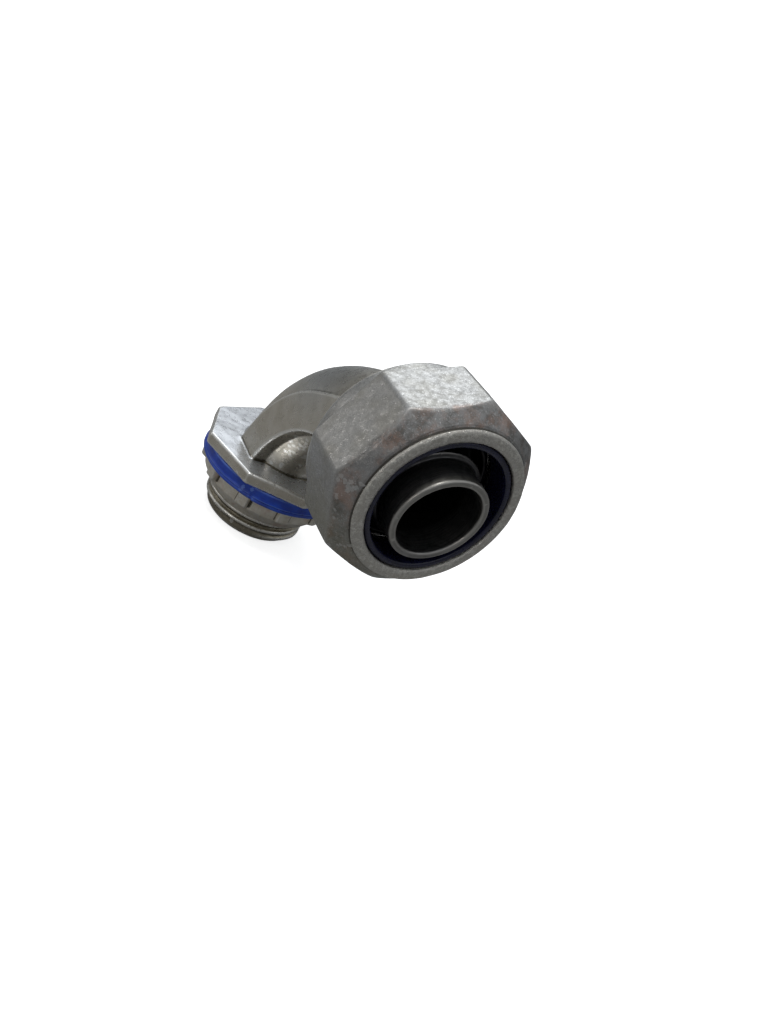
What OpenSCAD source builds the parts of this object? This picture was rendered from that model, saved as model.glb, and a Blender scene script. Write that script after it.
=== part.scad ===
// Conduit compression fitting: a 90 degree connector for liquid-tight flexible conduit.
// The origin is on the hub's axis, in the plane where the wrench flange meets the box gasket.
// The hub points down (-Z) through the box wall and the mouth of the gland nut points along -Y.

/* [Hub and wrench flange] */
// Outer diameter of the hub thread
hub_thread_d = 21.3; // [20.8:0.1:21.6]
// Length of the hub below the flange
hub_length = 13.6; // [13:0.1:14.6]
// Bore through the hub, the elbow and the spigot
hub_bore_d = 14.8; // [14.7:0.1:14.8]
// Pitch of both threads
thread_pitch = 1.8; // [1.6:0.1:2]
// Depth of both threads
thread_depth = 0.9; // [0.6:0.1:1]
// Wrench flange across its flats
flange_af = 29.6; // [28:0.1:31]
// Thickness of the wrench flange
flange_t = 2.4; // [2:0.1:3]

/* [Elbow] */
// Height of the nut's axis above the gasket plane
nut_axis_z = 24.8; // [24:0.1:26]
// Radius of the bend, at the middle of the bore
bend_r = 28.4; // [28:0.1:29]
// Width over the flat pads on both sides of the casting
elbow_w = 18.6; // [18.2:0.1:19.4]
// How far the pads reach outwards from the middle of the bore
flat_out = 1.9; // [1.6:0.1:2.4]
// How far the pads reach inwards from the middle of the bore
flat_in = 5.4; // [5:0.1:5.8]
// Outer diameter of the round tube between the pads
elbow_tube_d = 17; // [16.8:0.1:17.6]

/* [Spigot under the gland nut] */
// Outer diameter of the spigot thread
spigot_thread_d = 28; // [27.6:0.1:28.2]
// Face of the shoulder, measured from the hub's axis
shoulder_y = 28.9; // [28.8:0.1:29]
// Free end of the spigot, measured from the hub's axis
spigot_end_y = 37.6; // [37:0.1:38]
// Diameter of the seat that holds the ferrule's cup
seat_d = 24.2; // [24:0.1:24.4]

/* [Gland nut] */
// Gland nut across its flats
nut_af = 32.6; // [32.2:0.1:33.4]
// Back face of the nut's collar, measured from the hub's axis
nut_back_y = 29.5; // [29.4:0.1:29.8]
// Diameter of the collar at the back of the nut
nut_collar_d = 31.6; // [31:0.1:32]
// Width of that collar
nut_collar_w = 2.5; // [2:0.1:2.8]
// Place on the nut's corners where the coned front starts
nut_cone_y = 41.9; // [41.4:0.1:42.2]
// Front face of the nut's lip
nut_front_y = 46; // [45.6:0.1:46.2]
// Outer diameter of the lip
nut_lip_d = 28.4; // [28:0.1:28.8]
// Diameter of the mouth
mouth_d = 24.4; // [24.2:0.1:24.6]

/* [Ferrule and seal ring] */
// Outer diameter of the ferrule's tube, which fills the conduit's core
ferrule_d = 16.2; // [16:0.1:16.6]
// Bore of the ferrule
ferrule_bore_d = 13.8; // [13.4:0.1:14]
// Outer diameter of the ferrule's cup
cup_d = 22.8; // [22.4:0.1:22.9]
// Free end of the ferrule, measured from the hub's axis
ferrule_end_y = 47.2; // [46.6:0.1:47.6]
// Angle by which the loose ferrule hangs down towards the mouth
ferrule_droop = 5; // [0:0.5:5.5]
// Bore of the seal ring, which passes the conduit
ring_bore_d = 22; // [21.8:0.1:22.2]

/* [Box gasket and locknut] */
// Outer diameter of the box gasket
gasket_d = 29.8; // [29.2:0.1:30.4]
// Thickness of the box gasket
gasket_t = 3.1; // [2.8:0.1:3.4]
// Diameter of the locknut without its lugs
locknut_d = 26.6; // [26:0.1:27]
// Diameter over the locknut's lugs
lug_d = 28.6; // [28:0.1:29.2]
// Thickness of the locknut's rim and lugs
lug_t = 2.5; // [2.2:0.1:2.8]
// Thickness of the whole locknut
locknut_t = 5.2; // [4.8:0.1:5.6]

/* [Hidden] */
fine = 96;
eps = 0.02;
// Clearance on radius between a screwed ring and the crests that it turns on
thread_play = 0.08;
// Clearance on radius between the pieces that slide inside the nut
slide_play = 0.15;
// Height of the bend's centre, so that the bend ends on the nut's axis
bend_z = nut_axis_z - bend_r;
flange_r = flange_af / 2 / cos(22.5);
nut_r = nut_af / 2 / cos(22.5);
crest_w = thread_pitch * 0.25;
root_w = thread_pitch * 0.2;
// Where the coned front meets the lip
cone_end_y = nut_front_y - 0.6;
cone_slope = (nut_r - nut_lip_d / 2) / (cone_end_y - nut_cone_y);
// End of the nut's thread, and the place where its bore has opened up for the ring's flange
nut_bore_end_y = 38.4;
ring_room_y = 39.2;
// The ring's flange is caught behind the lip of the nut
lip_depth = 3.2;
ring_flange_d = 25.8;
ring_end_y = nut_front_y - 0.4;
ring_back_y = 40.5;
nut_bore_d = spigot_thread_d + 2 * thread_play;
cup_back_y = 33.6;
// Bottom of the seat, clear of the rocking cup
seat_back_y = 31.4;
cup_rim_y = 38.9;
cup_wall = 0.8;
// The ferrule rocks about the middle of its cup, which rests low in its seat
cup_middle_y = 36.2;
ferrule_sag = 0.25;
lug_count = 10;
// Turn of the locknut at which it sits tight
locknut_turn = 12;

// A ring-shaped solid about the nut's axis. The profile holds [radius, distance from the hub's axis].
module turned_front(profile) {
    translate([0, 0, nut_axis_z])
        rotate([90, 0, 0])
            rotate_extrude($fn = fine)
                polygon(profile);
}

// A plain cylinder about the nut's axis, between two distances from the hub's axis
module rod_front(d, from_y, to_y) {
    translate([0, -from_y, nut_axis_z])
        rotate([90, 0, 0])
            cylinder(d = d, h = to_y - from_y, $fn = fine);
}

// Thread ridges as a stack of rings: [radius, distance] points of one side of the thread
function ridge_points(crest_r, root_r, start, turns) = [
    for (i = [0 : turns - 1])
        each [
            [root_r, start + i * thread_pitch],
            [crest_r, start + i * thread_pitch + (thread_pitch - crest_w - root_w) / 2],
            [crest_r, start + i * thread_pitch + (thread_pitch + crest_w - root_w) / 2],
            [root_r, start + (i + 1) * thread_pitch - root_w]
        ]
];

// Cross-section of the bend: a round tube between two flat pads.
// x runs outwards from the bend's centre and y runs across the casting.
module elbow_section() {
    translate([bend_r - flat_in, -elbow_w / 2])
        square([flat_in + flat_out, elbow_w]);
    translate([bend_r, 0])
        circle(d = elbow_tube_d, $fn = fine);
}

// Sweeps a section round the bend, from the hub's axis to the nut's axis
module bend() {
    translate([0, -bend_r, bend_z])
        rotate([0, 0, 90])
            rotate([90, 0, 0])
                rotate_extrude(angle = 90, $fn = fine)
                    children();
}

// The casting round the bend, cut off inside the wrench flange
module elbow_outside() {
    cut = 2 * bend_r;
    difference() {
        bend()
            elbow_section();
        translate([-cut / 2, -cut / 2, -cut + flange_t / 2])
            cube(cut);
    }
}

module spigot_outside() {
    thread_r = spigot_thread_d / 2;
    root_r = thread_r - thread_depth;
    thread_start = shoulder_y + 1;
    turns = 4;
    thread_end = thread_start + turns * thread_pitch;
    turned_front(concat(
        [[0, bend_r - 0.6], [thread_r + 0.6, bend_r - 0.6], [thread_r + 0.6, shoulder_y], [root_r, shoulder_y]],
        ridge_points(thread_r, root_r, thread_start, turns),
        [[root_r, thread_end], [root_r - 0.5, spigot_end_y], [0, spigot_end_y]]
    ));
}

module hub_outside() {
    thread_r = hub_thread_d / 2;
    root_r = thread_r - thread_depth;
    thread_start = 2.2;
    turns = floor((hub_length - thread_start - 0.5) / thread_pitch);
    mirror([0, 0, 1])
        rotate_extrude($fn = fine)
            polygon(concat(
                [[0, -flange_t / 2], [root_r, -flange_t / 2]],
                ridge_points(thread_r, root_r, thread_start, turns),
                [[root_r, hub_length - 0.3], [root_r - 0.3, hub_length], [0, hub_length]]
            ));
}

module body() {
    bore_r = hub_bore_d / 2;
    color([0.56, 0.55, 0.52])
        difference() {
            union() {
                hub_outside();
                cylinder(r = flange_r, h = flange_t, $fn = 8);
                elbow_outside();
                spigot_outside();
            }
            translate([0, 0, -hub_length - 1])
                cylinder(r = bore_r, h = hub_length + 1 + bend_z + eps, $fn = fine);
            bend()
                translate([bend_r, 0])
                    circle(r = bore_r, $fn = fine);
            rod_front(hub_bore_d, bend_r - eps, spigot_end_y + 1);
            rod_front(seat_d, seat_back_y, spigot_end_y + 1);
        }
}

module box_gasket() {
    rim = 0.5;
    inner_r = hub_thread_d / 2 + thread_play;
    color([0.05, 0.16, 0.55])
        mirror([0, 0, 1])
            rotate_extrude($fn = fine)
                polygon([
                    [inner_r, 0.05],
                    [gasket_d / 2 - rim, 0.05],
                    [gasket_d / 2, rim],
                    [gasket_d / 2, gasket_t - rim],
                    [gasket_d / 2 - rim, gasket_t],
                    [inner_r, gasket_t]
                ]);
}

// One side of the locknut: a rim of the given radius that tapers to a ring below it
module locknut_blank(rim_r) {
    neck_r = 11.3;
    bevel = 0.3;
    rotate_extrude($fn = fine)
        polygon([
            [0, 0],
            [rim_r, 0],
            [rim_r, lug_t - bevel],
            [locknut_d / 2 - bevel, lug_t + 0.4],
            [neck_r, locknut_t],
            [0, locknut_t]
        ]);
}

module locknut() {
    lug_w = 2.6;
    top_z = gasket_t + 0.05;
    color([0.6, 0.59, 0.56])
        translate([0, 0, -top_z])
            mirror([0, 0, 1])
                difference() {
                    union() {
                        locknut_blank(locknut_d / 2);
                        intersection() {
                            locknut_blank(lug_d / 2);
                            for (i = [0 : lug_count - 1])
                                rotate([0, 0, locknut_turn + i * 360 / lug_count])
                                    translate([0, -lug_w / 2, 0])
                                        cube([lug_d, lug_w, locknut_t]);
                        }
                    }
                    translate([0, 0, -1])
                        cylinder(d = hub_thread_d + 2 * thread_play, h = locknut_t + 2, $fn = fine);
                }
}

// Hangs its children by the droop about the middle of the ferrule's cup
module hang_ferrule() {
    translate([0, -cup_middle_y, nut_axis_z - ferrule_sag])
        rotate([ferrule_droop, 0, 0])
            translate([0, cup_middle_y, -nut_axis_z])
                children();
}

module ferrule() {
    tube_r = ferrule_d / 2;
    bore_r = ferrule_bore_d / 2;
    cup_r = cup_d / 2;
    color([0.35, 0.35, 0.36])
        hang_ferrule()
            turned_front([
                [bore_r, cup_back_y],
                [cup_r, cup_back_y],
                [cup_r, cup_rim_y],
                [cup_r - cup_wall, cup_rim_y],
                [cup_r - cup_wall, cup_back_y + 1],
                [tube_r, cup_back_y + 1],
                [tube_r, ferrule_end_y - 0.4],
                [tube_r - 0.4, ferrule_end_y],
                [bore_r, ferrule_end_y]
            ]);
}

module seal_ring() {
    sleeve_r = mouth_d / 2 - slide_play;
    flange_edge_r = ring_flange_d / 2;
    bore_r = ring_bore_d / 2;
    shoulder = nut_front_y - lip_depth - 0.1;
    color([0.08, 0.08, 0.16])
        turned_front([
            [bore_r + 0.1, ring_back_y],
            [flange_edge_r - 0.5, ring_back_y],
            [flange_edge_r, ring_back_y + 0.6],
            [flange_edge_r, shoulder - 0.6],
            [sleeve_r, shoulder],
            [sleeve_r, ring_end_y],
            [bore_r, ring_end_y],
            [bore_r, ring_back_y + 0.1]
        ]);
}

module gland_nut() {
    shoulder = nut_front_y - lip_depth;
    flats_y = nut_back_y + nut_collar_w;
    lip_r = nut_lip_d / 2;
    lip_bevel = 0.5;
    color([0.55, 0.54, 0.53])
        difference() {
            union() {
                rod_front(nut_collar_d, nut_back_y, nut_back_y + nut_collar_w + 1);
                intersection() {
                    translate([0, -flats_y, nut_axis_z])
                        rotate([90, 0, 0])
                            cylinder(r = nut_r, h = nut_front_y - flats_y, $fn = 8);
                    turned_front([
                        [0, flats_y],
                        [nut_r + cone_slope * (nut_cone_y - flats_y), flats_y],
                        [lip_r, cone_end_y],
                        [lip_r, cone_end_y + eps],
                        [0, cone_end_y + eps]
                    ]);
                }
                turned_front([
                    [0, cone_end_y - 0.6],
                    [lip_r, cone_end_y - 0.6],
                    [lip_r, nut_front_y - lip_bevel],
                    [lip_r - lip_bevel, nut_front_y],
                    [0, nut_front_y]
                ]);
            }
            rod_front(mouth_d, nut_back_y - 1, nut_front_y + 1);
            turned_front([
                [0, nut_back_y - 1],
                [nut_bore_d / 2, nut_back_y - 1],
                [nut_bore_d / 2, nut_bore_end_y],
                [ring_flange_d / 2 + slide_play, ring_room_y],
                [ring_flange_d / 2 + slide_play, shoulder - 0.6],
                [mouth_d / 2 - eps, shoulder],
                [0, shoulder]
            ]);
        }
}

body();
box_gasket();
locknut();
ferrule();
seal_ring();
gland_nut();
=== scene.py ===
"""Looks of the conduit compression fitting: meshes, materials, stage, lights and camera.

Shapes are given in millimetres and are turned into metres where a mesh is made.
The hub's axis is Z, the gland nut's axis runs along -Y at the height AXIS_Z.
"""
import math

import bmesh
import bpy
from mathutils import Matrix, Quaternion, Vector, noise


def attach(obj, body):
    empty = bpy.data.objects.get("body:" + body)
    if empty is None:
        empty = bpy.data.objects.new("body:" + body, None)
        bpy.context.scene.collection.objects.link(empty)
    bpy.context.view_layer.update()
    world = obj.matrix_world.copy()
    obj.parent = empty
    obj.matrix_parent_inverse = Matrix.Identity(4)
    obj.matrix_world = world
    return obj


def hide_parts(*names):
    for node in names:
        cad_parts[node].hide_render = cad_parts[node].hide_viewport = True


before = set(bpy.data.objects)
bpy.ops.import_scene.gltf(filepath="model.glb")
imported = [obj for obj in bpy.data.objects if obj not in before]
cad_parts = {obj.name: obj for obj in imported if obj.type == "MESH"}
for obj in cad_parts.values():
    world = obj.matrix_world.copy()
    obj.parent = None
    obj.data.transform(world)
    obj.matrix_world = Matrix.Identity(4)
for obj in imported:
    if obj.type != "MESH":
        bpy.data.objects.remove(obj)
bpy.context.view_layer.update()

MM = 0.001

# Driving sizes, the same as the CAD model's
AXIS_Z = 24.8
BEND_R = 28.4
BEND_Z = AXIS_Z - BEND_R
BORE_R = 7.4
PITCH = 1.8
THREAD_DEPTH = 0.9
HUB_R = 10.65
HUB_LENGTH = 13.6
SPIGOT_R = 14.0
SPIGOT_END = 37.6
SHOULDER = 28.9
SEAT_R = 12.1
SEAT_START = 31.4
FLANGE_R = 16.02
FLANGE_T = 2.4
GASKET_T = 3.1
FLOOR_Z = -HUB_LENGTH - 0.2

# How much the stage glows of itself, how much light it throws back, and the light from the sky
STAGE_GLOW = 0.75
STAGE_BOUNCE = 0.34
SKY_STRENGTH = 0.62


# ---------------------------------------------------------------- mesh tools

def at_hub(x, y, h):
    """A point about the hub's axis: h runs down from the gasket plane."""
    return (x, -y, -h)


def at_front(x, y, h):
    """A point about the nut's axis: h runs forwards from the hub's axis."""
    return (x, -h, AXIS_Z + y)


def smooth_step(value, low, high):
    t = min(max((value - low) / (high - low), 0.0), 1.0)
    return t * t * (3 - 2 * t)


def soft_min(a, b, width):
    """The smaller of two lengths, with a round corner of about that width where they meet."""
    t = max(width - abs(a - b), 0.0) / width
    return min(a, b) - t * t * width / 4


def soft_max(a, b, width):
    return -soft_min(-a, -b, width)


def mesh_object(name, points, faces):
    """A clean object from points in millimetres, its faces turned outwards."""
    mesh = bpy.data.meshes.new(name)
    mesh.from_pydata([Vector(p) * MM for p in points], [], faces)
    shape = bmesh.new()
    shape.from_mesh(mesh)
    bmesh.ops.recalc_face_normals(shape, faces=shape.faces)
    shape.to_mesh(mesh)
    shape.free()
    piece = bpy.data.objects.new(name, mesh)
    bpy.context.collection.objects.link(piece)
    return piece


def loft(name, loops, ring=False):
    """A skin through loops of points. A ring joins the last loop to the first; others get end caps."""
    count = len(loops[0])
    total = len(loops)
    faces = []
    for i in range(total if ring else total - 1):
        a = i * count
        b = (i + 1) % total * count
        for j in range(count):
            k = (j + 1) % count
            faces.append((a + j, a + k, b + k, b + j))
    if not ring:
        faces.append(tuple(range(count - 1, -1, -1)))
        faces.append(tuple(range((total - 1) * count, total * count)))
    return mesh_object(name, [p for loop in loops for p in loop], faces)


def turned_loop(radius, h, place, count):
    """One loop about an axis. radius is a length, or a function of the angle."""
    points = []
    for i in range(count):
        angle = 2 * math.pi * i / count
        r = radius(angle) if callable(radius) else radius
        points.append(place(r * math.cos(angle), r * math.sin(angle), h))
    return points


def turned(name, profile, place, ring=False, count=256):
    """A turned shape from [radius, h] rows."""
    loops = [turned_loop(radius, h, place, count) for radius, h in profile]
    return loft(name, loops, ring)


def dense(profile, step):
    """The rows of a profile with more rows between them, so that no step is longer than given."""
    rows = [profile[0]]
    for (r0, h0), (r1, h1) in zip(profile, profile[1:]):
        parts = max(1, math.ceil(math.hypot(r1 - r0, h1 - h0) / step))
        rows += [(r0 + (r1 - r0) * k / parts, h0 + (h1 - h0) * k / parts) for k in range(1, parts + 1)]
    return rows


def helix_ridge(name, crest_r, root_r, start, end, place):
    """One right-handed thread ridge, rooted in its cylinder, that fades in and out over a quarter turn."""
    steps = 96
    total = int((end - start) / PITCH * steps)
    sunk = root_r - 0.35
    foot = PITCH * 0.46
    crest_half = PITCH * 0.14
    loops = []
    for i in range(total + 1):
        angle = 2 * math.pi * i / steps
        h = start + PITCH * i / steps
        fade = min(1.0, 4 * i / steps, 4 * (total - i) / steps)
        crest = sunk + (crest_r - sunk) * max(fade, 0.05)
        section = [(sunk, h - foot), (crest, h - crest_half), (crest, h + crest_half), (sunk, h + foot)]
        loops.append([place(r * math.cos(angle), r * math.sin(angle), z) for r, z in section])
    return loft(name, loops)


def replace_by_evaluated(piece):
    """Turns the modifiers of a piece into its mesh."""
    graph = bpy.context.evaluated_depsgraph_get()
    mesh = bpy.data.meshes.new_from_object(piece.evaluated_get(graph))
    old = piece.data
    piece.modifiers.clear()
    piece.data = mesh
    bpy.data.meshes.remove(old)


def cut_or_join(piece, tool, operation):
    """A boolean with another piece, which is used up."""
    step = piece.modifiers.new("step", "BOOLEAN")
    step.operation = operation
    step.solver = "EXACT"
    step.object = tool
    replace_by_evaluated(piece)
    bpy.data.objects.remove(tool)


def merge_shells(piece, others):
    """Puts the meshes of other pieces into a piece, overlapping as they are."""
    shape = bmesh.new()
    shape.from_mesh(piece.data)
    for other in others:
        shape.from_mesh(other.data)
        bpy.data.objects.remove(other)
    shape.to_mesh(piece.data)
    shape.free()


def cast_skin(piece, voxel, rounds):
    """One even skin round overlapping shells, its edges rounded as a casting's are."""
    skin = piece.modifiers.new("skin", "REMESH")
    skin.mode = "VOXEL"
    skin.voxel_size = voxel * MM
    soften = piece.modifiers.new("soften", "SMOOTH")
    soften.factor = 0.5
    soften.iterations = rounds
    replace_by_evaluated(piece)


def waver(piece, layers):
    """Moves the skin in and out by soft noise. Each layer is (size of a wave, height), in millimetres."""
    vertices = piece.data.vertices
    places = [vertex.co.copy() for vertex in vertices]
    outwards = [vertex.normal.copy() for vertex in vertices]
    moved = []
    for place, outward in zip(places, outwards):
        shift = sum(height * noise.noise(place / (size * MM)) for size, height in layers)
        moved.extend(place + outward * shift * MM)
    vertices.foreach_set("co", moved)
    piece.data.update()


def shade_smooth(piece):
    piece.data.polygons.foreach_set("use_smooth", [True] * len(piece.data.polygons))


# ---------------------------------------------------------------- shader tools

class Shader:
    """A node material in the making, with short calls for the nodes used here."""

    def __init__(self, name):
        self.material = bpy.data.materials.new(name)
        self.material.use_nodes = True
        self.tree = self.material.node_tree
        self.surface = self.tree.nodes["Principled BSDF"]
        self.place = self.add("ShaderNodeTexCoord").outputs["Object"]

    def add(self, kind):
        return self.tree.nodes.new(kind)

    def feed(self, socket, value):
        """A socket takes a link from another socket, or a plain value."""
        if isinstance(value, bpy.types.NodeSocket):
            self.tree.links.new(value, socket)
        else:
            socket.default_value = value

    def grain(self, size, detail=3.0, rough=0.5, stretch=(1, 1, 1), turn=(0, 0, 0)):
        """Noise whose blotches are about that size in millimetres."""
        mapping = self.add("ShaderNodeMapping")
        mapping.inputs["Scale"].default_value = stretch
        mapping.inputs["Rotation"].default_value = turn
        self.feed(mapping.inputs["Vector"], self.place)
        node = self.add("ShaderNodeTexNoise")
        self.feed(node.inputs["Vector"], mapping.outputs["Vector"])
        node.inputs["Scale"].default_value = 1 / (size * MM)
        node.inputs["Detail"].default_value = detail
        node.inputs["Roughness"].default_value = rough
        return node.outputs["Fac"]

    def flakes(self, size):
        """A random value for each small cell of that size in millimetres."""
        node = self.add("ShaderNodeTexVoronoi")
        self.feed(node.inputs["Vector"], self.place)
        node.inputs["Scale"].default_value = 1 / (size * MM)
        split = self.add("ShaderNodeSeparateColor")
        self.feed(split.inputs["Color"], node.outputs["Color"])
        return split.outputs["Red"]

    def span(self, value, low, high, to_low=0.0, to_high=1.0):
        """Maps low..high to to_low..to_high with soft ends."""
        node = self.add("ShaderNodeMapRange")
        node.interpolation_type = "SMOOTHSTEP"
        for name, number in (("Value", value), ("From Min", low), ("From Max", high)):
            self.feed(node.inputs[name], number)
        node.inputs["To Min"].default_value = to_low
        node.inputs["To Max"].default_value = to_high
        return node.outputs["Result"]

    def math(self, operation, a, b=0.0):
        node = self.add("ShaderNodeMath")
        node.operation = operation
        self.feed(node.inputs[0], a)
        self.feed(node.inputs[1], b)
        return node.outputs["Value"]

    def axis(self, name):
        """One object coordinate in millimetres."""
        split = self.add("ShaderNodeSeparateXYZ")
        self.feed(split.inputs["Vector"], self.place)
        return self.math("DIVIDE", split.outputs[name], MM)

    def mix(self, amount, a, b):
        """A colour between two colours."""
        node = self.add("ShaderNodeMix")
        node.data_type = "RGBA"
        self.feed(node.inputs[0], amount)
        for socket, colour in ((node.inputs[6], a), (node.inputs[7], b)):
            self.feed(socket, colour if isinstance(colour, bpy.types.NodeSocket) else (*colour, 1.0))
        return node.outputs[2]

    def edges(self, low, high):
        """1 on outer edges and 0 elsewhere, for wear and painted edge highlights."""
        node = self.add("ShaderNodeNewGeometry")
        return self.span(node.outputs["Pointiness"], low, high)

    def crease_shade(self, low, high):
        """1 in grooves and inner corners, for painted shade there, and 0 elsewhere."""
        return self.edges(high, low)

    def bumps(self, layers):
        """Bump layers, each (height, strength, depth in millimetres), one on the other."""
        normal = None
        for height, strength, depth in layers:
            node = self.add("ShaderNodeBump")
            self.feed(node.inputs["Height"], height)
            node.inputs["Strength"].default_value = strength
            node.inputs["Distance"].default_value = depth * MM
            if normal:
                self.feed(node.inputs["Normal"], normal)
            normal = node.outputs["Normal"]
        self.feed(self.surface.inputs["Normal"], normal)

    def finish(self, colour, rough, metal):
        self.feed(self.surface.inputs["Base Color"], colour)
        self.feed(self.surface.inputs["Roughness"], rough)
        self.surface.inputs["Metallic"].default_value = metal
        return self.material


def scratches(shader, seed):
    """Thin light lines that run a few millimetres in two directions, at one level of a stretched noise."""
    level = 0.455
    first = shader.grain(1.0, 2, 0.4, (0.12, 1.6, 1.0), (0.3, seed, 0.9))
    second = shader.grain(1.0, 2, 0.4, (1.5, 0.14, 1.1), (seed, 0.5, 0.2))
    lines = []
    for value in (first, second):
        off = shader.math("ABSOLUTE", shader.math("SUBTRACT", value, level))
        lines.append(shader.span(off, 0.0, 0.006, 1.0, 0.0))
    thin_out = shader.span(shader.grain(3.0, 2), 0.5, 0.62)
    return shader.math("MULTIPLY", shader.math("MAXIMUM", *lines), thin_out)


def tumbled_zinc():
    """The gland nut: grey zinc with a fine sparkle and scuffs, stained on the cone, nicked on the lip, with
    painted shade on its lower part and in its grooves.
    """
    s = Shader("tumbled_zinc")
    speckle = s.grain(0.2, 3, 0.65)
    flake = s.flakes(0.14)
    cloud = s.grain(3.6, 5, 0.6)
    grey = s.mix(s.span(speckle, 0.3, 0.72), (0.30, 0.30, 0.295), (0.43, 0.43, 0.425))
    grey = s.mix(s.span(cloud, 0.38, 0.66, 0.0, 0.6), grey, (0.31, 0.30, 0.27))
    on_cone = s.span(s.axis("Y"), -41.8, -43.2)
    grey = s.mix(s.math("MULTIPLY", on_cone, 0.6), grey, (0.235, 0.235, 0.24))
    dirt = s.math("MULTIPLY", on_cone, s.span(s.grain(2.4, 6, 0.68), 0.42, 0.62, 0.0, 0.8))
    grey = s.mix(dirt, grey, (0.13, 0.125, 0.115))
    stain = s.math("MULTIPLY", on_cone, s.span(s.grain(5.0, 8, 0.72), 0.44, 0.64, 0.0, 0.5))
    grey = s.mix(stain, grey, (0.40, 0.25, 0.19))
    # painted shade: the nut darker olive towards its lower part, below its axis
    underside_shade = s.span(s.axis("Z"), 24.0, 12.0, 0.0, 0.5)
    grey = s.mix(underside_shade, grey, (0.29, 0.28, 0.21))
    on_lip = s.span(s.axis("Y"), -45.0, -45.4)
    grey = s.mix(s.math("MULTIPLY", on_lip, 0.8), grey, (0.36, 0.33, 0.27))
    nicks = s.span(s.grain(0.55, 6, 0.75), 0.46, 0.62, 0.0, 0.95)
    grey = s.mix(s.math("MULTIPLY", on_lip, nicks), grey, (0.62, 0.60, 0.53))
    glint = s.span(flake, 0.88, 0.98)
    grey = s.mix(s.math("MULTIPLY", glint, 0.3), grey, (0.70, 0.70, 0.69))
    lines = scratches(s, 0.4)
    grey = s.mix(s.math("MULTIPLY", lines, 0.28), grey, (0.66, 0.66, 0.64))
    edge_wear_and_highlight = s.edges(0.505, 0.53)
    grey = s.mix(s.math("MULTIPLY", edge_wear_and_highlight, 0.4), grey, (0.62, 0.62, 0.61))
    # painted shade: grooves and inner corners of the nut made near black
    grey = s.mix(s.crease_shade(0.455, 0.49), grey, (0.09, 0.085, 0.075))
    rough = s.span(s.grain(0.9, 5, 0.65), 0.32, 0.68, 0.30, 0.54)
    rough = s.math("SUBTRACT", rough, s.math("MULTIPLY", glint, 0.12))
    s.bumps([
        (cloud, 0.3, 0.25),
        (speckle, 0.22, 0.025),
        (s.grain(0.09, 2), 0.25, 0.01),
        (lines, 0.3, 0.02),
        (s.math("MULTIPLY", on_lip, nicks), 0.6, 0.06),
        (s.math("MULTIPLY", on_cone, s.grain(0.6, 5, 0.7)), 0.5, 0.08),
    ])
    return s.finish(grey, rough, 0.88)


def cast_zinc():
    """The elbow casting: olive grey zinc, with a painted bluish reflection on the crown, a painted highlight
    on the flange top, painted shade on the hub, inside the nut and in grooves, and edge wear with a painted
    highlight.
    """
    s = Shader("cast_zinc")
    cloud = s.grain(3.2, 4)
    fine = s.grain(0.3, 3, 0.6)
    tone = s.mix(s.span(cloud, 0.32, 0.68), (0.45, 0.415, 0.345), (0.53, 0.495, 0.43))
    tone = s.mix(s.span(fine, 0.3, 0.7, 0.0, 0.3), tone, (0.56, 0.535, 0.48))
    pores = s.span(s.grain(0.45, 2, 0.5), 0.67, 0.74)
    tone = s.mix(s.math("MULTIPLY", pores, 0.2), tone, (0.26, 0.23, 0.19))
    # painted highlight: the flange's top face lighter and bluish, as the key light reflects there
    top = s.math("MULTIPLY", s.span(s.axis("Z"), 2.0, 2.3), s.span(s.axis("Z"), 2.8, 2.5))
    tone = s.mix(s.math("MULTIPLY", top, 0.85), tone, (0.70, 0.73, 0.78))
    # painted reflection: the upward crown of the bend lighter and bluish, as it mirrors the sky
    crown = s.math("MULTIPLY", s.span(s.axis("Z"), 14.0, 26.0), s.span(s.axis("Y"), -24.0, -10.0))
    tone = s.mix(s.math("MULTIPLY", crown, 0.55), tone, (0.42, 0.46, 0.50))
    # painted shade: the spigot inside the nut made near black
    shade_inside_nut = s.span(s.axis("Y"), -30.0, -32.0)
    tone = s.mix(s.math("MULTIPLY", shade_inside_nut, 0.85), tone, (0.045, 0.043, 0.04))
    # painted shade: the hub darker olive below the flange and the locknut
    hub_shade = s.span(s.axis("Z"), -4.5, -7.0)
    tone = s.mix(s.math("MULTIPLY", hub_shade, 0.75), tone, (0.31, 0.275, 0.20))
    # painted shade: grooves and inner corners of the casting made dark
    tone = s.mix(s.crease_shade(0.46, 0.49), tone, (0.10, 0.09, 0.065))
    # edge wear, and a painted highlight along the pads' outer edges
    edge_wear_and_highlight = s.edges(0.505, 0.53)
    tone = s.mix(s.math("MULTIPLY", edge_wear_and_highlight, 0.7), tone, (0.80, 0.79, 0.75))
    lines = scratches(s, 1.1)
    tone = s.mix(s.math("MULTIPLY", lines, 0.25), tone, (0.62, 0.61, 0.57))
    rough = s.span(s.grain(1.2, 4, 0.6), 0.3, 0.7, 0.24, 0.38)
    s.bumps([
        (cloud, 0.2, 0.2),
        (fine, 0.3, 0.015),
        (s.math("MULTIPLY", pores, -1.0), 0.2, 0.02),
    ])
    return s.finish(tone, rough, 0.88)


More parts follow.
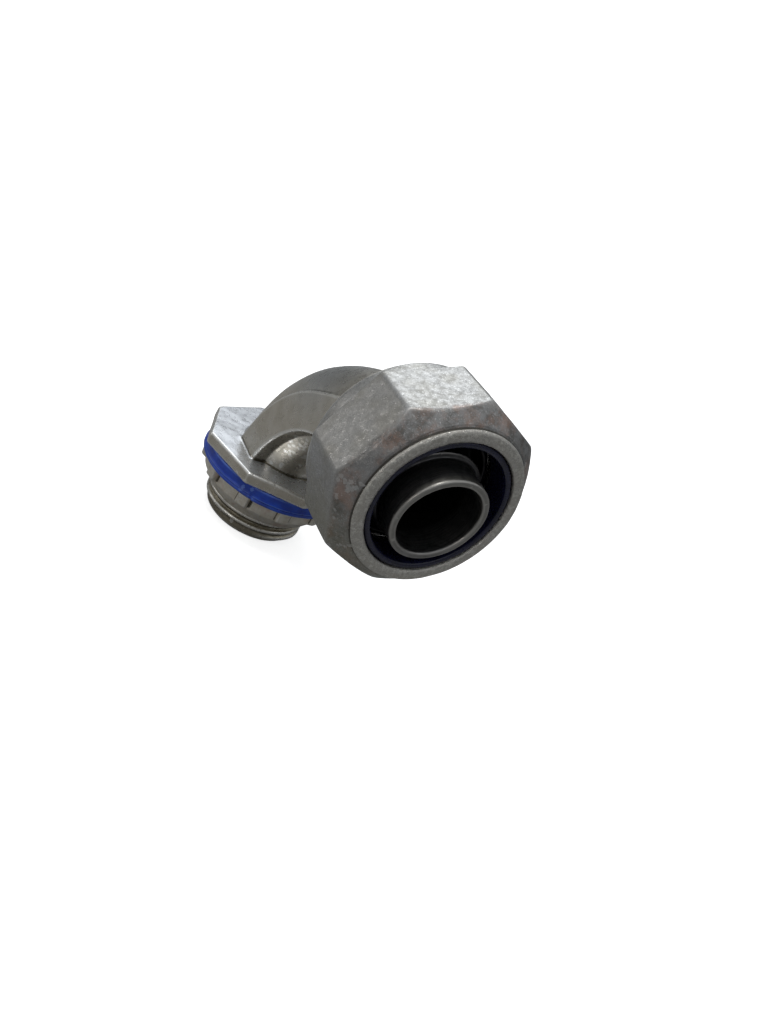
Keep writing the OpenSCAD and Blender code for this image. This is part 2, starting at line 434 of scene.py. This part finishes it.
def locknut_zinc():
    """The locknut: die-cast zinc with a duller, warmer skin."""
    s = Shader("locknut_zinc")
    cloud = s.grain(1.6, 4, 0.6)
    fine = s.grain(0.2, 3, 0.6)
    tone = s.mix(s.span(cloud, 0.32, 0.68), (0.52, 0.48, 0.40), (0.68, 0.65, 0.58))
    tone = s.mix(s.span(fine, 0.35, 0.7, 0.0, 0.4), tone, (0.72, 0.69, 0.62))
    blush = s.span(s.grain(3.5, 2), 0.55, 0.7, 0.0, 0.5)
    tone = s.mix(blush, tone, (0.55, 0.41, 0.35))
    # painted shade: grooves and inner corners of the locknut made dark
    tone = s.mix(s.crease_shade(0.45, 0.49), tone, (0.10, 0.09, 0.07))
    edge_wear_and_highlight = s.edges(0.51, 0.55)
    tone = s.mix(s.math("MULTIPLY", edge_wear_and_highlight, 0.5), tone, (0.70, 0.69, 0.66))
    rough = s.span(fine, 0.3, 0.7, 0.34, 0.52)
    s.bumps([(cloud, 0.25, 0.12), (fine, 0.4, 0.02)])
    return s.finish(tone, rough, 0.85)


def plated_steel():
    """The ferrule: dark drawn steel with rings from the tool, lighter at its end, with painted shade where
    it lies deep inside the nut.
    """
    s = Shader("plated_steel")
    rings = s.grain(0.9, 3, 0.6, (0.15, 6.0, 0.15))
    cloud = s.grain(1.5, 4, 0.6)
    tone = s.mix(s.span(rings, 0.35, 0.65), (0.09, 0.09, 0.092), (0.17, 0.17, 0.172))
    tone = s.mix(s.span(cloud, 0.4, 0.7, 0.0, 0.5), tone, (0.07, 0.067, 0.063))
    end_ring = s.span(s.axis("Y"), -46.2, -46.9)
    tone = s.mix(s.math("MULTIPLY", end_ring, 0.8), tone, (0.26, 0.255, 0.235))
    edge_wear_and_highlight = s.edges(0.51, 0.55)
    tone = s.mix(s.math("MULTIPLY", edge_wear_and_highlight, 0.35), tone, (0.62, 0.60, 0.57))
    # painted shade: the ferrule near black where it lies deep inside the nut
    deep = s.span(s.axis("Y"), -42.2, -40.8)
    tone = s.mix(s.math("MULTIPLY", deep, 0.85), tone, (0.025, 0.025, 0.027))
    rough = s.span(cloud, 0.3, 0.7, 0.30, 0.46)
    s.bumps([(rings, 0.3, 0.03), (s.grain(0.15, 2), 0.25, 0.01)])
    return s.finish(tone, rough, 0.95)


def navy_nylon():
    """The seal ring: dark blue moulded plastic with a soft sheen."""
    s = Shader("navy_nylon")
    cloud = s.grain(1.4, 3)
    tone = s.mix(s.span(cloud, 0.3, 0.7), (0.004, 0.0045, 0.018), (0.008, 0.009, 0.035))
    rough = s.span(s.grain(0.3, 3), 0.3, 0.7, 0.24, 0.38)
    s.bumps([(s.grain(0.12, 3), 0.25, 0.012)])
    return s.finish(tone, rough, 0.0)


def blue_elastomer():
    """The box gasket: saturated blue elastomer, a little lighter on its edges by a painted highlight, with
    faint dust.
    """
    s = Shader("blue_elastomer")
    cloud = s.grain(2.5, 3)
    tone = s.mix(s.span(cloud, 0.3, 0.7), (0.004, 0.030, 0.30), (0.008, 0.060, 0.46))
    dust = s.span(s.grain(0.35, 5, 0.75), 0.56, 0.74, 0.0, 0.15)
    tone = s.mix(dust, tone, (0.10, 0.14, 0.42))
    # painted highlight: the gasket's edges lighter blue
    edge_wear_and_highlight = s.edges(0.51, 0.56)
    tone = s.mix(s.math("MULTIPLY", edge_wear_and_highlight, 0.6), tone, (0.14, 0.24, 0.66))
    rough = s.span(s.grain(0.5, 3), 0.3, 0.7, 0.34, 0.5)
    s.bumps([(s.grain(0.25, 3), 0.3, 0.015), (cloud, 0.2, 0.1)])
    s.surface.inputs["Subsurface Weight"].default_value = 0.08
    s.surface.inputs["Subsurface Scale"].default_value = 0.0006
    return s.finish(tone, rough, 0.0)


def pale_paper():
    """The stage: it glows white for the camera, and throws little light back at the metal."""
    s = Shader("pale_paper")
    tone = s.mix(s.grain(60.0, 2), (0.80, 0.80, 0.80), (0.84, 0.84, 0.84))
    material = s.finish(tone, 0.9, 0.0)
    s.surface.inputs["Emission Color"].default_value = (1.0, 1.0, 1.0, 1.0)
    s.surface.inputs["Emission Strength"].default_value = STAGE_GLOW
    dim = s.add("ShaderNodeBsdfDiffuse")
    dim.inputs["Color"].default_value = (*[STAGE_BOUNCE] * 3, 1.0)
    seen = s.add("ShaderNodeLightPath")
    choose = s.add("ShaderNodeMixShader")
    s.feed(choose.inputs["Fac"], seen.outputs["Is Camera Ray"])
    s.feed(choose.inputs[1], dim.outputs["BSDF"])
    s.feed(choose.inputs[2], s.surface.outputs["BSDF"])
    s.feed(s.tree.nodes["Material Output"].inputs["Surface"], choose.outputs["Shader"])
    return material


# ---------------------------------------------------------------- pieces

def elbow_loops():
    """Sections of the bend: a round tube between two flat pads, flared where it meets the shoulder."""
    tube_r = 8.5
    pad_half = 9.3
    pad_in = 5.4
    pad_out = 1.9
    sections = 72
    count = 288
    loops = []
    for i in range(sections + 1):
        theta = math.radians(90) * i / sections
        flare = smooth_step(math.degrees(theta), 62, 92)
        loop = []
        for j in range(count):
            phi = 2 * math.pi * j / count
            c, s = math.cos(phi), math.sin(phi)
            side = pad_half / max(abs(c), 1e-6)
            reach = pad_out + 1.3 * flare if s > 0 else pad_in
            pad = soft_min(side, reach / max(abs(s), 1e-6), 0.5)
            r = soft_max(tube_r + 0.8 * flare, pad, 0.25)
            radius = BEND_R + r * s
            loop.append((r * c, -BEND_R + radius * math.cos(theta), BEND_Z + radius * math.sin(theta)))
        loops.append(loop)
    return loops


def rounded_octagon(radius, roundings, z):
    """A loop round an octagon whose corners lie on the axes, each with its own rounding."""
    points = []
    arc_steps = 10
    half = math.radians(22.5)
    for corner in range(8):
        middle = math.radians(45 * corner)
        rounding = roundings[corner]
        centre = radius - rounding / math.cos(half)
        for k in range(arc_steps + 1):
            angle = middle - half + 2 * half * k / arc_steps
            x = centre * math.cos(middle) + rounding * math.cos(angle)
            y = centre * math.sin(middle) + rounding * math.sin(angle)
            points.append((x, y, z))
    return points


def wrench_flange():
    """The octagonal flange. Each corner has its own rounding, and the rear left one is the roundest."""
    roundings = [0.9, 0.7, 0.9, 2.0, 0.6, 0.7, 0.9, 0.7]
    edge = 0.25
    rows = [(edge, 0.0), (0.0, edge), (0.0, FLANGE_T - edge), (edge, FLANGE_T)]
    loops = [rounded_octagon(FLANGE_R - inset, roundings, z) for inset, z in rows]
    return loft("flange", loops)


def bore_loops():
    """The wire passage: up the hub, round the bend and out of the spigot."""
    loops = []
    count = 160
    circle = [(math.cos(2 * math.pi * j / count), math.sin(2 * math.pi * j / count)) for j in range(count)]
    for z in (-HUB_LENGTH - 1, BEND_Z):
        loops.append([(BORE_R * c, BORE_R * s, z) for c, s in circle])
    sections = 60
    for i in range(1, sections + 1):
        theta = math.radians(90) * i / sections
        loops.append([
            (
                BORE_R * c,
                -BEND_R + (BEND_R + BORE_R * s) * math.cos(theta),
                BEND_Z + (BEND_R + BORE_R * s) * math.sin(theta),
            )
            for c, s in circle
        ])
    loops.append([(BORE_R * c, -SPIGOT_END - 1, AXIS_Z + BORE_R * s) for c, s in circle])
    return loops


def elbow_casting():
    """The body: bend, wrench flange, threaded hub and threaded spigot as one casting."""
    casting = loft("elbow_casting", elbow_loops())
    reach = 40.0
    corners = [(reach, reach), (-reach, reach), (-reach, -reach), (reach, -reach)]
    below = loft("below", [[(x, y, z) for x, y in corners] for z in (-reach, FLANGE_T / 2)])
    cut_or_join(casting, below, "DIFFERENCE")
    cut_or_join(casting, wrench_flange(), "UNION")
    hub_root = HUB_R - THREAD_DEPTH
    hub = turned("hub", [(hub_root, -FLANGE_T / 2), (hub_root, HUB_LENGTH - 0.45),
                         (hub_root - 0.45, HUB_LENGTH)], at_hub)
    cut_or_join(casting, hub, "UNION")
    root = SPIGOT_R - THREAD_DEPTH
    rim = SPIGOT_R + 0.6
    spigot = turned("spigot", [(rim - 0.3, BEND_R - 0.6), (rim, BEND_R - 0.3), (rim, SHOULDER - 0.3),
                               (rim - 0.3, SHOULDER), (root, SHOULDER), (root, SPIGOT_END - 0.5),
                               (root - 0.5, SPIGOT_END)], at_front)
    cut_or_join(casting, spigot, "UNION")
    cut_or_join(casting, loft("bore", bore_loops()), "DIFFERENCE")
    seat = turned("seat", [(SEAT_R, SEAT_START), (SEAT_R, SPIGOT_END + 1)], at_front)
    cut_or_join(casting, seat, "DIFFERENCE")
    hub_thread = helix_ridge("hub_thread", HUB_R, hub_root, 1.2, HUB_LENGTH - 0.9, at_hub)
    spigot_thread = helix_ridge("spigot_thread", SPIGOT_R, root, SHOULDER + 1.2, SPIGOT_END - 0.9, at_front)
    merge_shells(casting, [hub_thread, spigot_thread])
    cast_skin(casting, 0.24, 2)
    waver(casting, [(6.0, 0.06), (1.5, 0.02)])
    shade_smooth(casting)
    casting.data.materials.append(cast_zinc())
    return casting


def octagon_radius(across_flats, rounding):
    """The radius of an octagon with its corners on the axes, as a function of the angle."""
    def radius(angle):
        off = (math.degrees(angle) % 45) - 22.5
        first = across_flats / 2 / math.cos(math.radians(off))
        beyond = across_flats / 2 / math.cos(math.radians(45 - abs(off)))
        return soft_min(first, beyond, rounding)
    return radius


def gland_nut():
    """The octagonal nut: collar behind, coned and scalloped front, round lip."""
    back = 29.5
    collar_end = 32.0
    collar_r = 15.8
    cone_start = 41.9
    front = 46.0
    lip_r = 14.2
    lip_start = front - 0.95
    across_flats = 32.6
    corner_r = across_flats / 2 / math.cos(math.radians(22.5))
    slope = (corner_r - lip_r) / (front - 0.6 - cone_start)
    flats = octagon_radius(across_flats, 0.5)
    count = 720

    def outside(h):
        def radius(angle):
            if h < collar_end:
                return collar_r - 0.4 * (1 - smooth_step(h, back, back + 0.4))
            cone = corner_r - slope * (h - cone_start)
            r = soft_min(flats(angle), cone, 0.35)
            return r - 0.5 * (1 - smooth_step(h, collar_end, collar_end + 0.5)) ** 2
        return radius

    heights = [back + 0.08 * k for k in range(6)] + [30.4, 31.0, 31.6, collar_end - 0.12]
    rows = [(outside(h), h) for h in heights]
    rows += [(collar_r - 0.2, collar_end - 0.04), (collar_r - 0.2, collar_end)]
    heights = [collar_end + 0.05 * k for k in range(12)] + [32.8 + 0.5 * k for k in range(13)]
    heights += [39.2 + 0.1 * k for k in range(80) if 39.2 + 0.1 * k < lip_start - 0.15]
    rows += [(outside(h), h) for h in heights]
    groove = [(outside(lip_start - 0.12), lip_start - 0.12), (lip_r - 0.12, lip_start - 0.02),
              (lip_r - 0.14, lip_start + 0.1)]
    lip = [(lip_r + 0.02, lip_start + 0.28), (lip_r + 0.05, lip_start + 0.45),
           (lip_r - 0.05, front - 0.3), (lip_r - 0.3, front - 0.1), (lip_r - 0.7, front)]
    rows += groove + lip
    mouth_r = 12.2
    ring_room_r = 13.05
    crest_r = SPIGOT_R + 0.08
    root_r = 14.45
    inside = [(mouth_r + 0.5, front), (mouth_r + 0.12, front - 0.1), (mouth_r, front - 0.4), (mouth_r, 42.8),
              (ring_room_r, 42.2), (ring_room_r, 39.2), (crest_r, 38.4)]
    ridge = 38.0
    while ridge - PITCH > back + 0.8:
        inside += [(crest_r, ridge), (root_r, ridge - 0.5), (root_r, ridge - 0.9), (crest_r, ridge - 1.4)]
        ridge -= PITCH
    inside += [(crest_r, back + 0.6), (14.6, back)]
    rows += dense(inside, 0.6)
    nut = turned("gland_nut_shell", rows, at_front, True, count)
    waver(nut, [(7.0, 0.06), (1.6, 0.03), (0.5, 0.008)])
    shade_smooth(nut)
    nut.data.materials.append(tumbled_zinc())
    return nut


def locknut():
    """The locknut: a rim with ten lugs that tapers to a ring below it."""
    top = GASKET_T + 0.05
    rim_r = 13.3
    lug_r = 14.25
    neck_r = 11.3
    lugs = 10
    lug_half = 5.2
    first_lug = 12.0
    rim_t = 2.6
    height = 5.2
    slot_depth = 0.55

    def outside(depth):
        def radius(angle):
            # at_hub turns the angle round, so the lugs' angle is taken back here
            turn = (-math.degrees(angle) - first_lug + 180 / lugs) % (360 / lugs) - 180 / lugs
            lug = 1 - smooth_step(abs(turn), lug_half - 1.0, lug_half + 0.8)
            slot = 1 - smooth_step(abs(turn - lug_half - 1.4), 0.6, 1.5)
            low = smooth_step(depth, 2.1, 3.1)
            taper = max(depth - rim_t, 0.0) / (height - rim_t)
            body = rim_r - (rim_r - neck_r) * taper
            return body + ((lug_r - rim_r) * lug - slot_depth * slot) * (1 - low)
        return radius

    depths = [0.12 * k for k in range(1, 43)]
    rows = [(lambda angle: outside(0.1)(angle) - 0.15, top)]
    rows += [(outside(depth), top + depth) for depth in depths]
    bore_r = HUB_R + 0.08
    inside = [(neck_r - 0.15, top + height), (bore_r + 0.1, top + height), (bore_r, top + height - 0.1),
              (bore_r, top)]
    rows += dense(inside, 0.6)
    nut = turned("locknut_shell", rows, at_hub, True, 600)
    waver(nut, [(3.0, 0.04), (0.7, 0.02)])
    shade_smooth(nut)
    nut.data.materials.append(locknut_zinc())
    return nut


def box_gasket():
    """The gasket: a plain upper part, a fine raised line, and a round bead below with a small seam."""
    inner = HUB_R + 0.08
    seam_at = 127.0

    def edge(radius, seam_depth):
        def at(angle):
            off = (math.degrees(angle) - seam_at + 180) % 360 - 180
            seam = math.exp(-(off / 1.1) ** 2)
            step = 0.12 * math.tanh(off / 1.5) * math.exp(-(off / 14) ** 2)
            return radius - seam_depth * seam - step
        return at

    rows = [(inner, 0.05), (14.45, 0.05), (14.68, 0.12), (14.72, 0.4), (14.70, 0.9), (14.70, 1.5)]
    rows = [(edge(r, 0.0), h) if r > inner else (r, h) for r, h in dense(rows, 0.5)]
    rows += [(edge(14.74, 0.05), 1.75), (edge(14.86, 0.3), 1.88), (edge(14.90, 0.35), 1.98),
             (edge(14.84, 0.3), 2.08)]
    bead_middle = 2.54
    for k in range(9):
        angle = math.radians(-68 + 17 * k)
        rows.append((edge(14.42 + 0.46 * math.cos(angle), 0.22), bead_middle + 0.48 * math.sin(angle)))
    underside = GASKET_T - 0.1
    rows += dense([(14.2, underside), (inner, underside)], 0.6)
    gasket = turned("gasket_ring", rows, at_hub, True, 480)
    waver(gasket, [(5.0, 0.05), (1.5, 0.02)])
    shade_smooth(gasket)
    gasket.data.materials.append(blue_elastomer())
    return gasket


def seal_ring():
    """The compression ring: a sleeve that fills the mouth, and the flange that the lip catches."""
    sleeve = 12.05
    flange = 12.9
    bore = 11.0
    rows = [(bore + 0.1, 40.5), (flange - 0.5, 40.5), (flange, 41.0), (flange, 42.0), (sleeve, 42.65),
            (sleeve, 45.35), (sleeve - 0.15, 45.55), (sleeve - 0.35, 45.6), (bore + 0.4, 45.6),
            (bore + 0.1, 45.45), (bore, 45.1), (bore, 40.6)]
    ring = turned("seal_ring_shell", dense(rows, 0.3), at_front, True, 360)
    waver(ring, [(3.0, 0.02)])
    shade_smooth(ring)
    ring.data.materials.append(navy_nylon())
    return ring


def ferrule():
    """The ferrule: tube with a low ridge and a cup, hanging by its droop about the cup's middle."""
    tube = 8.1
    bore = 6.9
    cup = 11.4
    wall = 0.8
    back = 33.6
    rim = 38.9
    end = 47.2
    rows = [(bore + 0.15, back), (cup - 0.5, back), (cup - 0.15, back + 0.15), (cup, back + 0.5),
            (cup, rim - 0.2), (cup - 0.2, rim), (cup - wall + 0.2, rim), (cup - wall, rim - 0.2),
            (cup - wall, back + 1.3), (cup - wall - 0.3, back + 1.0), (tube + 0.3, back + 1.0),
            (tube, back + 1.3)]
    ridge = 41.6
    rows += [(tube, ridge - 0.9), (tube + 0.75, ridge - 0.2), (tube + 0.85, ridge),
             (tube + 0.75, ridge + 0.15), (tube, ridge + 0.35)]
    rows += [(tube, end - 0.5), (tube - 0.06, end - 0.2), (tube - 0.22, end - 0.04), (tube - 0.42, end),
             (bore + 0.25, end - 0.03), (bore + 0.06, end - 0.2), (bore, end - 0.5), (bore, back + 0.15)]
    droop = math.radians(5)
    middle = 36.2
    sag = 0.25

    def hang(x, y, h):
        along = h - middle
        forward = along * math.cos(droop) + y * math.sin(droop)
        up = y * math.cos(droop) - along * math.sin(droop)
        return (x, -middle - forward, AXIS_Z - sag + up)

    tube_piece = turned("ferrule_tube", dense(rows, 0.35), hang, True, 360)
    waver(tube_piece, [(4.0, 0.03), (0.8, 0.012)])
    shade_smooth(tube_piece)
    tube_piece.data.materials.append(plated_steel())
    return tube_piece


def add_piece(piece, node):
    """The piece stands for a CAD node, whose part it hides, and rides on its body."""
    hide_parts(node)
    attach(piece, node)


# ---------------------------------------------------------------- stage

def stage_bowl():
    """A seamless pale floor that curves up all round, far from the object."""
    flat = 450.0
    curve = 500.0
    rows = [(k * flat / 6, 0.0) for k in range(1, 7)]
    for k in range(1, 19):
        angle = math.radians(90) * k / 18
        rows.append((flat + curve * math.sin(angle), curve * (1 - math.cos(angle))))
    count = 96
    loops = [turned_loop(r, FLOOR_Z + h, lambda x, y, z: (x, y - 15, z), count) for r, h in rows]
    points = [p for loop in loops for p in loop]
    faces = [tuple(range(count))]
    for i in range(len(loops) - 1):
        for j in range(count):
            k = (j + 1) % count
            faces.append((i * count + j, i * count + k, (i + 1) * count + k, (i + 1) * count + j))
    bowl = mesh_object("stage_bowl", points, faces)
    shade_smooth(bowl)
    bowl.data.materials.append(pale_paper())


def soft_box(name, direction, distance, size, watts, colour):
    """An area light that faces the middle of the object."""
    data = bpy.data.lights.new(name, "AREA")
    data.shape = "DISK"
    data.size = size
    data.energy = watts
    data.color = colour
    light = bpy.data.objects.new(name, data)
    bpy.context.collection.objects.link(light)
    middle = Vector((0.0, -0.018, 0.012))
    away = Vector(direction).normalized()
    light.location = middle + away * distance
    light.rotation_mode = "QUATERNION"
    light.rotation_quaternion = (-away).to_track_quat("-Z", "Y")
    light.visible_camera = False


def lights():
    world = bpy.data.worlds.new("studio")
    world.use_nodes = True
    background = world.node_tree.nodes["Background"]
    background.inputs["Color"].default_value = (0.94, 0.97, 1.0, 1.0)
    seen = world.node_tree.nodes.new("ShaderNodeLightPath")
    strength = world.node_tree.nodes.new("ShaderNodeMapRange")
    strength.inputs["To Min"].default_value = SKY_STRENGTH
    strength.inputs["To Max"].default_value = 1.0
    world.node_tree.links.new(seen.outputs["Is Camera Ray"], strength.inputs["Value"])
    world.node_tree.links.new(strength.outputs["Result"], background.inputs["Strength"])
    bpy.context.scene.world = world
    bpy.context.scene.view_settings.view_transform = "Standard"
    soft_box("key", (0.15, 0.68, 0.72), 0.36, 0.24, 0.29, (0.95, 0.98, 1.0))
    soft_box("left", (-0.80, 0.55, 0.15), 0.45, 0.20, 0.13, (1.0, 0.97, 0.93))
    soft_box("side", (-0.90, -0.35, 0.25), 0.45, 0.15, 0.12, (1.0, 0.96, 0.91))
    soft_box("top", (-0.35, -0.05, 0.94), 0.40, 0.11, 0.30, (1.0, 0.98, 0.95))


def camera():
    """Three-quarter view from the front left and above, rolled by 33 degrees."""
    data = bpy.data.cameras.new("camera")
    data.lens = 28.125
    data.sensor_width = 36
    data.clip_start = 0.001
    eye = bpy.data.objects.new("camera", data)
    bpy.context.collection.objects.link(eye)
    azimuth, elevation, roll = (math.radians(v) for v in (41.46, 25.5, 33.25))
    looks = Vector((
        math.sin(azimuth) * math.cos(elevation),
        math.cos(azimuth) * math.cos(elevation),
        -math.sin(elevation),
    ))
    eye.location = (-0.0777, -0.1233, 0.0717)
    eye.rotation_mode = "QUATERNION"
    eye.rotation_quaternion = looks.to_track_quat("-Z", "Y") @ Quaternion((0, 0, 1), roll)
    bpy.context.scene.camera = eye


add_piece(elbow_casting(), "body")
add_piece(box_gasket(), "box_gasket")
add_piece(locknut(), "locknut")
add_piece(ferrule(), "ferrule")
add_piece(seal_ring(), "seal_ring")
add_piece(gland_nut(), "gland_nut")
stage_bowl()
lights()
camera()
